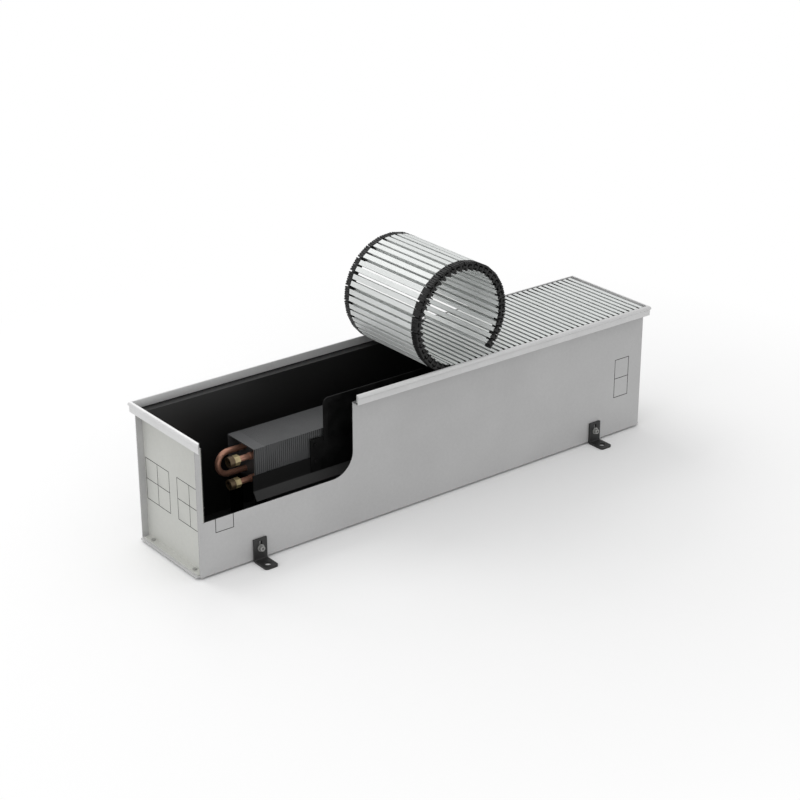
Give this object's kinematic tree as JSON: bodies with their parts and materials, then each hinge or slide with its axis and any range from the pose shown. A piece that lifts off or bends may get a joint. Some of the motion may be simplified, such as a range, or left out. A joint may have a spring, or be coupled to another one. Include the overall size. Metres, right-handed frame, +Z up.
{
  "type": "trench convector heater",
  "caption": "Floor trench convector: sheet trough with levelling feet, mitred frame, finned exchanger with unions, partition and a roll-up bar grille.",
  "frame": {"origin": "middle of the footprint, on the plane that the levelling feet stand on", "axes": "+X along the trench away from the connections, -Y towards the cut-open front wall, +Z up"},
  "size_m": [0.769, 0.1992, 0.3336],
  "materials": {
    "zinc_sheet": "matt zinc",
    "zinc_panel": "matt zinc",
    "frame_aluminium": "satin anodised",
    "seal_rubber": "matt",
    "grille_aluminium": "satin anodised",
    "link_plastic": "matt",
    "fin_aluminium": "dark coating",
    "carrier_steel": "satin",
    "copper": "drawn copper, dull",
    "brass": "machined",
    "black_sheet": "matt black powder coat",
    "black_screw": "black oxide",
    "steel_screw": "zinc plated",
    "foot_steel": "satin black"
  },
  "bodies": {
    "root": {"casing_trough": "zinc_sheet", "end_panel_left": "zinc_panel", "end_panel_right": "zinc_panel", "end_panel_screws": "steel_screw", "frame_profile_front": "frame_aluminium", "frame_profile_back": "frame_aluminium", "frame_profile_left": "frame_aluminium", "frame_profile_right": "frame_aluminium", "frame_seal": "seal_rubber", "fin_pack": "fin_aluminium", "carrier_plate_left": "carrier_steel", "carrier_plate_right": "carrier_steel", "carrier_screws": "steel_screw", "tubes_front": "copper", "tubes_back": "copper", "u_bend_left": "copper", "u_bends_right": "copper", "pipe_collars": "copper", "union_supply": "brass", "union_return": "brass", "air_vent_body": "brass", "air_guide_strip": "black_sheet", "partition_lower": "black_sheet", "partition_upper": "black_sheet", "partition_stays": "black_sheet", "partition_screws": "black_screw", "leveller_screws": "steel_screw", "leveller_washers": "steel_screw", "leveller_weld_nuts": "steel_screw"},
    "grille_flat": {"grille_bars_flat": "grille_aluminium", "grille_links_flat": "link_plastic"},
    "grille_segment_01": {"grille_segment_01": "grille_aluminium"},
    "grille_segment_02": {"grille_segment_02": "grille_aluminium"},
    "grille_segment_03": {"grille_segment_03": "grille_aluminium"},
    "grille_segment_04": {"grille_segment_04": "grille_aluminium"},
    "grille_segment_05": {"grille_segment_05": "grille_aluminium"},
    "grille_segment_06": {"grille_segment_06": "grille_aluminium"},
    "grille_segment_07": {"grille_segment_07": "grille_aluminium"},
    "grille_segment_08": {"grille_segment_08": "grille_aluminium"},
    "grille_segment_09": {"grille_segment_09": "grille_aluminium"},
    "grille_segment_10": {"grille_segment_10": "grille_aluminium"},
    "grille_segment_11": {"grille_segment_11": "grille_aluminium"},
    "grille_segment_12": {"grille_segment_12": "grille_aluminium"},
    "grille_segment_13": {"grille_segment_13": "grille_aluminium"},
    "grille_segment_14": {"grille_segment_14": "grille_aluminium"},
    "grille_segment_15": {"grille_segment_15": "grille_aluminium"},
    "grille_segment_16": {"grille_segment_16": "grille_aluminium"},
    "grille_segment_17": {"grille_segment_17": "grille_aluminium"},
    "grille_segment_18": {"grille_segment_18": "grille_aluminium"},
    "grille_segment_19": {"grille_segment_19": "grille_aluminium"},
    "grille_segment_20": {"grille_segment_20": "grille_aluminium"},
    "leveller_front_left": {"leveller_front_left": "foot_steel"},
    "leveller_front_right": {"leveller_front_right": "foot_steel"},
    "leveller_back_left": {"leveller_back_left": "foot_steel"},
    "leveller_back_right": {"leveller_back_right": "foot_steel"},
    "air_vent_screw": {"air_vent_screw": "brass"}
  },
  "joints": [
    {"name": "grille_lift", "type": "slide", "parent": "root", "child": "grille_flat", "axis": [0, 0, 1], "range_m": [0, 0.12]},
    {"name": "roll_hinge_01", "type": "hinge", "parent": "grille_flat", "child": "grille_segment_01", "pos_m": [0.0234, 0, 0.1869], "axis": [0, -1, 0], "range_deg": [0, 15.9]},
    {"name": "roll_hinge_02", "type": "hinge", "parent": "grille_segment_01", "child": "grille_segment_02", "pos_m": [0.00465, 0, 0.19224], "axis": [0, -1, 0], "range_deg": [0, 15.9]},
    {"name": "roll_hinge_03", "type": "hinge", "parent": "grille_segment_02", "child": "grille_segment_03", "pos_m": [-0.01193, 0, 0.20252], "axis": [0, -1, 0], "range_deg": [0, 15.9]},
    {"name": "roll_hinge_04", "type": "hinge", "parent": "grille_segment_03", "child": "grille_segment_04", "pos_m": [-0.02505, 0, 0.21694], "axis": [0, -1, 0], "range_deg": [0, 15.9]},
    {"name": "roll_hinge_05", "type": "hinge", "parent": "grille_segment_04", "child": "grille_segment_05", "pos_m": [-0.03372, 0, 0.23441], "axis": [0, -1, 0], "range_deg": [0, 15.9]},
    {"name": "roll_hinge_06", "type": "hinge", "parent": "grille_segment_05", "child": "grille_segment_06", "pos_m": [-0.03727, 0, 0.25358], "axis": [0, -1, 0], "range_deg": [0, 15.9]},
    {"name": "roll_hinge_07", "type": "hinge", "parent": "grille_segment_06", "child": "grille_segment_07", "pos_m": [-0.03544, 0, 0.27299], "axis": [0, -1, 0], "range_deg": [0, 15.9]},
    {"name": "roll_hinge_08", "type": "hinge", "parent": "grille_segment_07", "child": "grille_segment_08", "pos_m": [-0.02836, 0, 0.29116], "axis": [0, -1, 0], "range_deg": [0, 15.9]},
    {"name": "roll_hinge_09", "type": "hinge", "parent": "grille_segment_08", "child": "grille_segment_09", "pos_m": [-0.01657, 0, 0.30669], "axis": [0, -1, 0], "range_deg": [0, 15.9]},
    {"name": "roll_hinge_10", "type": "hinge", "parent": "grille_segment_09", "child": "grille_segment_10", "pos_m": [-0.00097, 0, 0.3184], "axis": [0, -1, 0], "range_deg": [0, 15.9]},
    {"name": "roll_hinge_11", "type": "hinge", "parent": "grille_segment_10", "child": "grille_segment_11", "pos_m": [0.01723, 0, 0.32539], "axis": [0, -1, 0], "range_deg": [0, 15.9]},
    {"name": "roll_hinge_12", "type": "hinge", "parent": "grille_segment_11", "child": "grille_segment_12", "pos_m": [0.03666, 0, 0.32712], "axis": [0, -1, 0], "range_deg": [0, 15.9]},
    {"name": "roll_hinge_13", "type": "hinge", "parent": "grille_segment_12", "child": "grille_segment_13", "pos_m": [0.05581, 0, 0.32347], "axis": [0, -1, 0], "range_deg": [0, 15.9]},
    {"name": "roll_hinge_14", "type": "hinge", "parent": "grille_segment_13", "child": "grille_segment_14", "pos_m": [0.07323, 0, 0.31471], "axis": [0, -1, 0], "range_deg": [0, 15.9]},
    {"name": "roll_hinge_15", "type": "hinge", "parent": "grille_segment_14", "child": "grille_segment_15", "pos_m": [0.08758, 0, 0.30151], "axis": [0, -1, 0], "range_deg": [0, 15.9]},
    {"name": "roll_hinge_16", "type": "hinge", "parent": "grille_segment_15", "child": "grille_segment_16", "pos_m": [0.09777, 0, 0.28488], "axis": [0, -1, 0], "range_deg": [0, 15.9]},
    {"name": "roll_hinge_17", "type": "hinge", "parent": "grille_segment_16", "child": "grille_segment_17", "pos_m": [0.10302, 0, 0.2661], "axis": [0, -1, 0], "range_deg": [0, 15.9]},
    {"name": "roll_hinge_18", "type": "hinge", "parent": "grille_segment_17", "child": "grille_segment_18", "pos_m": [0.10291, 0, 0.2466], "axis": [0, -1, 0], "range_deg": [0, 15.9]},
    {"name": "roll_hinge_19", "type": "hinge", "parent": "grille_segment_18", "child": "grille_segment_19", "pos_m": [0.09747, 0, 0.22788], "axis": [0, -1, 0], "range_deg": [0, 15.9]},
    {"name": "roll_hinge_20", "type": "hinge", "parent": "grille_segment_19", "child": "grille_segment_20", "pos_m": [0.08711, 0, 0.21136], "axis": [0, -1, 0], "range_deg": [0, 15.9]},
    {"name": "leveller_front_left_height", "type": "slide", "parent": "root", "child": "leveller_front_left", "axis": [0, 0, -1], "range_m": [0, 0.008]},
    {"name": "leveller_front_right_height", "type": "slide", "parent": "root", "child": "leveller_front_right", "axis": [0, 0, -1], "range_m": [0, 0.008]},
    {"name": "leveller_back_left_height", "type": "slide", "parent": "root", "child": "leveller_back_left", "axis": [0, 0, -1], "range_m": [0, 0.008]},
    {"name": "leveller_back_right_height", "type": "slide", "parent": "root", "child": "leveller_back_right", "axis": [0, 0, -1], "range_m": [0, 0.008]},
    {"name": "air_vent_turn", "type": "hinge", "parent": "root", "child": "air_vent_screw", "pos_m": [0.362, 0, 0.135], "axis": [0, 0, 1], "range_deg": [0, 360]}
  ]
}
